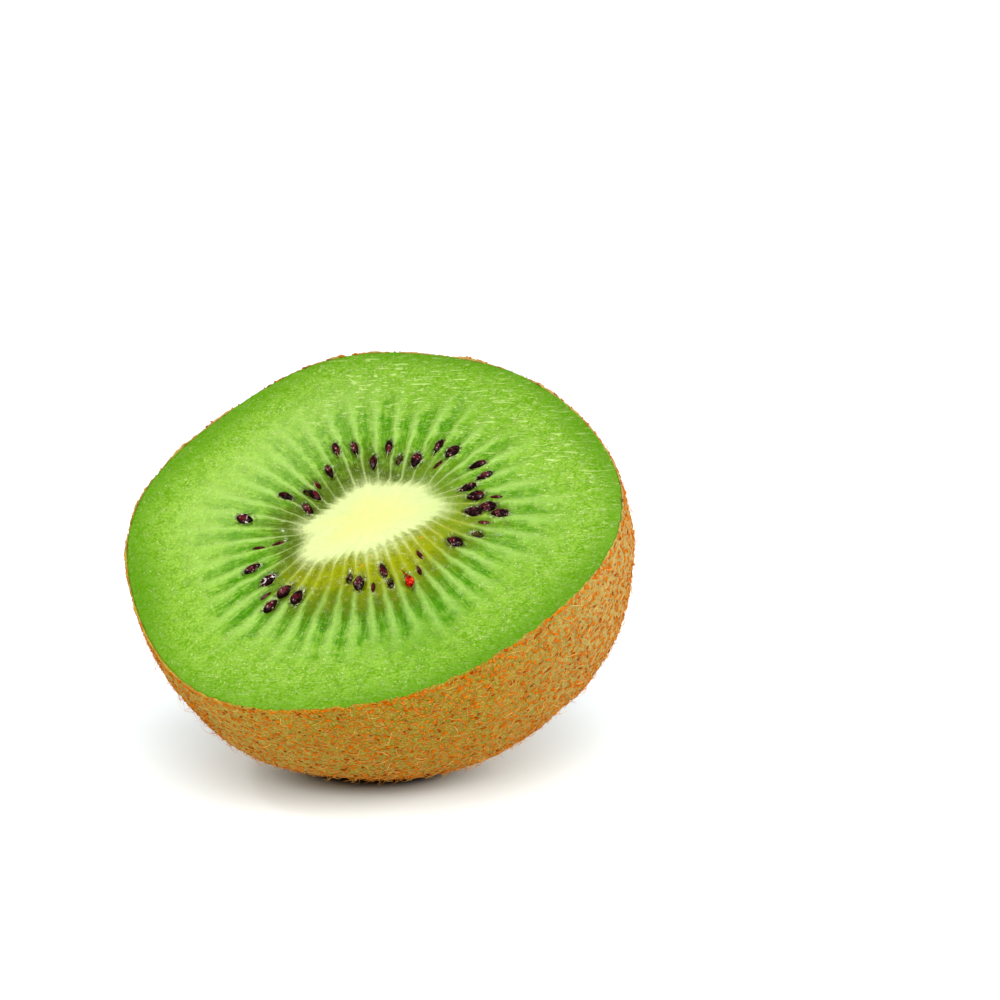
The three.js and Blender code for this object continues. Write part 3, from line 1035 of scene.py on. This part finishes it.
def spread_on_rind(spacing, seed, first_depth):
    """The angles and depths of points spread over the rind, and the draws that go on from them."""
    rng = np.random.default_rng(seed)
    depths = np.linspace(first_depth, DEPTH - 0.05, 800)
    radius = CUT_RADIUS * narrowing(depths)
    along = np.concatenate([[0], np.cumsum(np.hypot(np.diff(depths), np.diff(radius)))])
    angles, levels = [], []
    for step in np.arange(spacing / 2, along[-1] - 2.0, spacing):
        count = max(3, int(2 * PI * np.interp(step, along, radius) / spacing))
        shift = rng.uniform(0, 1)
        angles.append(2 * PI * (np.arange(count) + shift + rng.uniform(-0.48, 0.48, count)) / count)
        levels.append(np.interp(step + spacing * rng.uniform(-0.48, 0.48, count), along, depths))
    return np.concatenate(angles), np.concatenate(levels), rng


def axes_on_rind(angle, depth, clearance, grown=True):
    """The grown points off the foot and off the stalk's mark, each with its ways round, down and out of the fruit."""
    here = on_rind(angle, depth)
    round_ = unit(on_rind(angle + 1e-3, depth) - on_rind(angle - 1e-3, depth))
    down = on_rind(angle, depth + 1e-3) - on_rind(angle, depth - 1e-3)
    down = unit(down - round_ * np.sum(down * round_, axis=-1, keepdims=True))
    out = np.cross(down, round_)
    out *= np.sign(np.sum(out * (here - np.array(MIDDLE)), axis=-1, keepdims=True))
    here = rested(swelled(here))
    from_end = np.hypot(here[:, 0] - END_SHIFT[0], here[:, 1] - END_SHIFT[1])
    at_mark = (here[:, 2] < 4 - DEPTH) & (from_end < BUTTON_RADIUS + 0.6)
    kept = (in_place(here)[:, 2] / MM > clearance) & ~at_mark & grown
    return here[kept], round_[kept], down[kept], out[kept]


def ways_over_rind(round_, down, out, heading):
    """The ways ahead and beside at each point, for what lies along the rind with this heading."""
    ahead = round_ * np.cos(heading)[:, None] + down * np.sin(heading)[:, None]
    return ahead, np.cross(out, ahead)


def moved(points, *moves):
    """The points moved along ways of which each row has its own, by lengths for each row and point."""
    for way, lengths in moves:
        points = points + lengths[..., None] * way[:, None]
    return points


def strand_shape(rings):
    """A tapering strand of three sides: x and y across it, z from 0 at its root to 1 at its tip."""
    clear_selection()
    bpy.ops.mesh.primitive_circle_add(vertices=3, radius=1, fill_type="NGON")
    piece = bpy.context.object
    bpy.ops.object.mode_set(mode="EDIT")
    bpy.ops.mesh.select_all(action="SELECT")
    for _ in range(rings):
        bpy.ops.mesh.extrude_region_move(TRANSFORM_OT_translate={"value": (0, 0, 1 / rings)})
        bpy.ops.transform.resize(value=(0.82, 0.82, 1), center_override=(0, 0, 1))
    bpy.ops.mesh.merge(type="CENTER")
    bpy.ops.mesh.select_all(action="SELECT")
    bpy.ops.mesh.normals_make_consistent(inside=False)
    bpy.ops.object.mode_set(mode="OBJECT")
    return shape_of(piece)


def strands(spacing, seed, length, radius, lift, curl, rings=4):
    """Hairs on the rind. Lift has the least and the most angle off the rind, curl the most bend, in degrees."""
    angle, depth, rng = spread_on_rind(spacing, seed, 0.4)
    grown = rng.uniform(0, 1, len(angle)) < HAIR_SHARE
    here, round_, down, out = axes_on_rind(angle, depth, 0.25, grown)
    count = len(here)
    heading = np.where(rng.uniform(0, 1, count) < 0.5, 0, PI) + rng.normal(0, 0.75, count)
    size = length * rng.uniform(0.5, 1.35, (count, 1))
    rise = np.radians(rng.uniform(*lift, (count, 1)))
    bend = np.radians(rng.uniform(-curl, curl, (count, 1)))
    droop = rng.uniform(0.7, 1.8, (count, 1))

    # A hair's path: it turns and sinks a little at each of its rings
    middle = (np.arange(rings) + 0.5) / rings
    pitch, turned = rise * (1 - middle * droop), bend * middle
    legs = np.stack([np.cos(pitch) * np.cos(turned), np.cos(pitch) * np.sin(turned), np.sin(pitch)]) / rings
    onward, aside, up = np.pad(np.cumsum(legs, axis=-1), ((0, 0), (0, 0), (1, 0)))
    ahead, beside = ways_over_rind(round_, down, out, heading)
    rooted = (here + 0.01 * out)[:, None]
    lifted = size * np.maximum(up, 0.0) + 0.05 * np.linspace(0, 1, rings + 1)
    path = moved(rooted, (ahead, size * onward), (beside, size * aside), (out, lifted))

    shape, faces = strand_shape(rings)
    ring = np.clip(np.rint(shape[:, 2] * rings).astype(int), 0, rings)
    thick = radius * rng.uniform(0.7, 1.2, (count, 1))
    points = moved(path[:, ring], (beside, thick * shape[:, 0]), (out, thick * shape[:, 1]))
    return points, faces, rng.uniform(0, 1, (count, 1))


def hair_material(name, light, dark, pale):
    paint = Paint(name)
    tone = paint.noted("tint") * 0.7 + paint.noise(paint.place(), 3.0) * 0.3
    return paint.finish({
        "Base Color": paint.layered(
            dark, (light, paint.ease(tone, 0.12, 0.36)), (pale, paint.ease(tone, 0.5, 0.85))),
        "Roughness": 0.7,
        "Specular IOR Level": 0.01,
    })


class KIWI_OT_tufts(bpy.types.Operator):
    """Strews the rust tufts over the rind: small torn flakes that lie along it"""

    bl_idname = "kiwi.tufts"
    bl_label = "Tufts"

    def execute(self, context):
        tint = colours()
        angle, depth, rng = spread_on_rind(sizes().tuft_spacing / MM, 11, 0.15)
        at_edge = 2 * PI * (np.arange(EDGE_TUFTS) + rng.uniform(-0.5, 0.5, EDGE_TUFTS)) / EDGE_TUFTS
        angle = np.concatenate([angle, at_edge])
        depth = np.concatenate([depth, rng.uniform(0.0, 0.5, EDGE_TUFTS)])
        here, round_, down, out = axes_on_rind(angle, depth, 0.2)
        count = len(here)
        clear_selection()
        bpy.ops.mesh.primitive_ico_sphere_add(subdivisions=1, radius=1)
        shape, faces = shape_of(bpy.context.object)
        ahead, beside = ways_over_rind(round_, down, out, rng.uniform(0, PI, count))
        long_, wide, high = (rng.uniform(least, most, (count, 1)) for least, most in TUFT_SIZES)
        at_cut = here[:, 2] > -0.6
        long_[at_cut] *= 0.85
        high[at_cut] *= 0.6
        x, y, z = np.moveaxis(shape * rng.uniform(0.6, 1.3, (count, len(shape), 1)), -1, 0)
        bent = rng.uniform(-0.9, 0.9, (count, 1)) * x ** 2
        points = moved((here + 0.03 * out)[:, None], (ahead, x * long_), (beside, (y + bent) * wide), (out, z * high))
        piece = strewn(points, faces, {"tint": rng.uniform(0, 1, (count, 1))})
        flake = hair_material("kiwi_tuft", tint.rust, tint.rust_dark, colour("c47c1c"))
        finish_piece(piece, "rust_tufts", flake, "fuzz")
        return {"FINISHED"}


class KIWI_OT_hair(bpy.types.Operator):
    """Grows the fine hairs on the rind: those that lie on it and the strays that stand off"""

    bl_idname = "kiwi.hair"
    bl_label = "Hair"

    def execute(self, context):
        tint, size = colours(), sizes()
        radius = size.hair_radius / MM
        lying = hair_material("kiwi_hair", colour("c88a34"), tint.rust, tint.hair)
        stray = hair_material("kiwi_stray_hair", colour("d89038"), tint.rust, colour("f0c068"))
        for name, material, points, faces, shades in (
            ("lying_hair", lying, *strands(0.82, 21, size.lying_hair / MM, radius, (0, 16), 170)),
            ("stray_hair", stray, *strands(1.32, 22, size.stray_hair / MM, radius * 1.35, (15, 62), 190, rings=5)),
        ):
            finish_piece(strewn(points, faces, {"tint": shades}), name, material, "fuzz")
        return {"FINISHED"}


# ---------------------------------------------------------------- the stalk's mark


def wood_material():
    paint = Paint("kiwi_stalk_wood")
    grain = paint.noise(paint.place(), 3.0, 4.0, 0.7)
    return paint.finish({
        "Base Color": paint.mix(colours().wood, colour("2e1c0c"), paint.ease(grain, 0.35, 0.65)),
        "Roughness": 0.85,
        "Normal": paint.bump(grain, 0.25),
        "Specular IOR Level": 0.2,
    })


class KIWI_OT_stalk_mark(bpy.types.Operator):
    """Makes the woody button that the stalk left at the fruit's end"""

    bl_idname = "kiwi.stalk_mark"
    bl_label = "Stalk mark"

    def execute(self, context):
        angle = np.linspace(0, 2 * PI, 97)
        angle[-1] = 0
        rings = ((0.0, 0.15), (2.55, 0.12), (2.45, -0.02), (2.1, -0.3), (1.95, -0.5), (1.7, -0.72),
                 (1.4, -0.8), (1.15, -0.68), (0.8, -0.62), (0.35, -0.66), (0.0, -0.6))
        rows = np.array([end_ring(angle, *ring) for ring in rings])
        rows += lumps(rows, 0.7, 12)[..., None] * np.array([0.06, 0.06, 0.08])
        piece = rolled(rows, np.linspace(0, 1, len(rows))[:, None])
        finish_piece(piece, "stalk_mark", wood_material(), "rind", smooth_angle=50)
        return {"FINISHED"}


# ---------------------------------------------------------------- the stage


def aimed(back):
    """How a lamp or a camera turns when it looks away from this direction."""
    return Vector(back).to_track_quat("Z", "Y").to_euler()


class KIWI_OT_stage(bpy.types.Operator):
    """Sets the pale floor with its painted contact shadow and glow, the soft lights and the camera"""

    bl_idname = "kiwi.stage"
    bl_label = "Stage"

    def execute(self, context):
        scene = context.scene
        clear_selection()
        bpy.ops.mesh.primitive_plane_add(size=6, location=(0, 0, 0))
        floor = context.object
        floor.name = floor.data.name = "floor"
        paint = Paint("pale_floor_painted_shadow")
        x, y, _ = paint.split(paint.node("TexCoord", output="Object"))
        wide, deep = x * 0.68 + y * 0.24 + 0.0007, x * 0.34 - y * 0.94
        away = (wide * wide + deep * deep).call("SQRT")
        floor.data.materials.append(paint.finish({
            # Painted shadow: the floor's colour goes near black round the fruit's foot
            "Base Color": paint.mix((0.04, 0.03, 0.02, 1.0), colours().floor, paint.ease(away, 0.0046, 0.007)),
            # Painted light: the floor glows, and the glow fades out round the fruit's foot
            "Emission Color": paint.mix((0.0, 0.0, 0.0, 1.0), colours().floor, paint.ease(away, 0.0058, 0.011)),
            "Emission Strength": 0.18,
            "Roughness": 0.9,
            "Specular IOR Level": 0.1,
        }))

        world = bpy.data.worlds.new("white_room")
        world.use_nodes = True
        room = world.node_tree.nodes["Background"]
        room.inputs["Color"].default_value = (1.0, 1.0, 1.0, 1.0)
        room.inputs["Strength"].default_value = 0.55
        scene.world = world
        sun = bpy.data.lights.new("soft_sky", "SUN")
        sun.angle = math.radians(40)
        sun.energy = 2.5
        sky = bpy.data.objects.new("soft_sky", sun)
        sky.rotation_euler = aimed(SKY_FROM)
        scene.collection.objects.link(sky)
        for name, place, size, power in LAMPS:
            light = bpy.data.lights.new(name, "AREA")
            light.shape = "DISK"
            light.size = size
            light.energy = power
            lamp = bpy.data.objects.new(name, light)
            lamp.location = place
            lamp.rotation_euler = aimed(Vector(place) - Vector(LIT_POINT))
            scene.collection.objects.link(lamp)

        camera = bpy.data.cameras.new("camera")
        camera.sensor_width = 36
        camera.lens = LENS
        viewer = bpy.data.objects.new("camera", camera)
        viewer.location = VIEWER
        level = math.cos(VIEW_ELEVATION)
        viewer.rotation_euler = aimed(
            (math.sin(VIEW_AZIMUTH) * level, -math.cos(VIEW_AZIMUTH) * level, math.sin(VIEW_ELEVATION)))
        scene.collection.objects.link(viewer)
        scene.camera = viewer
        scene.view_settings.view_transform = "Standard"
        return {"FINISHED"}


class KIWI_PT_panel(bpy.types.Panel):
    """Lists the pieces of the kiwi fruit half"""

    bl_idname = "KIWI_PT_panel"
    bl_label = "Kiwi Fruit Half"
    bl_space_type = "VIEW_3D"
    bl_region_type = "UI"
    bl_category = "Kiwi"

    def draw(self, context):
        for group in (context.scene.kiwi_sizes, context.scene.kiwi_colours):
            for name in group.__annotations__:
                self.layout.prop(group, name)
        for operator in OPERATORS:
            self.layout.operator(operator.bl_idname)


OPERATORS = (
    KIWI_OT_flesh,
    KIWI_OT_core,
    KIWI_OT_seeds,
    KIWI_OT_rind,
    KIWI_OT_stalk_mark,
    KIWI_OT_tufts,
    KIWI_OT_hair,
    KIWI_OT_stage,
)
CLASSES = (KiwiSizes, KiwiColours, *OPERATORS, KIWI_PT_panel)


def register():
    for item in CLASSES:
        bpy.utils.register_class(item)
    bpy.types.Scene.kiwi_sizes = bpy.props.PointerProperty(type=KiwiSizes)
    bpy.types.Scene.kiwi_colours = bpy.props.PointerProperty(type=KiwiColours)


def unregister():
    del bpy.types.Scene.kiwi_colours
    del bpy.types.Scene.kiwi_sizes
    for item in reversed(CLASSES):
        bpy.utils.unregister_class(item)


def main():
    register()
    clear_selection()
    bpy.ops.kiwi.flesh()
    bpy.ops.kiwi.core()
    bpy.ops.kiwi.seeds()
    bpy.ops.kiwi.rind()
    bpy.ops.kiwi.stalk_mark()
    bpy.ops.kiwi.tufts()
    bpy.ops.kiwi.hair()
    bpy.ops.kiwi.stage()


if __name__ == "__main__":
    main()
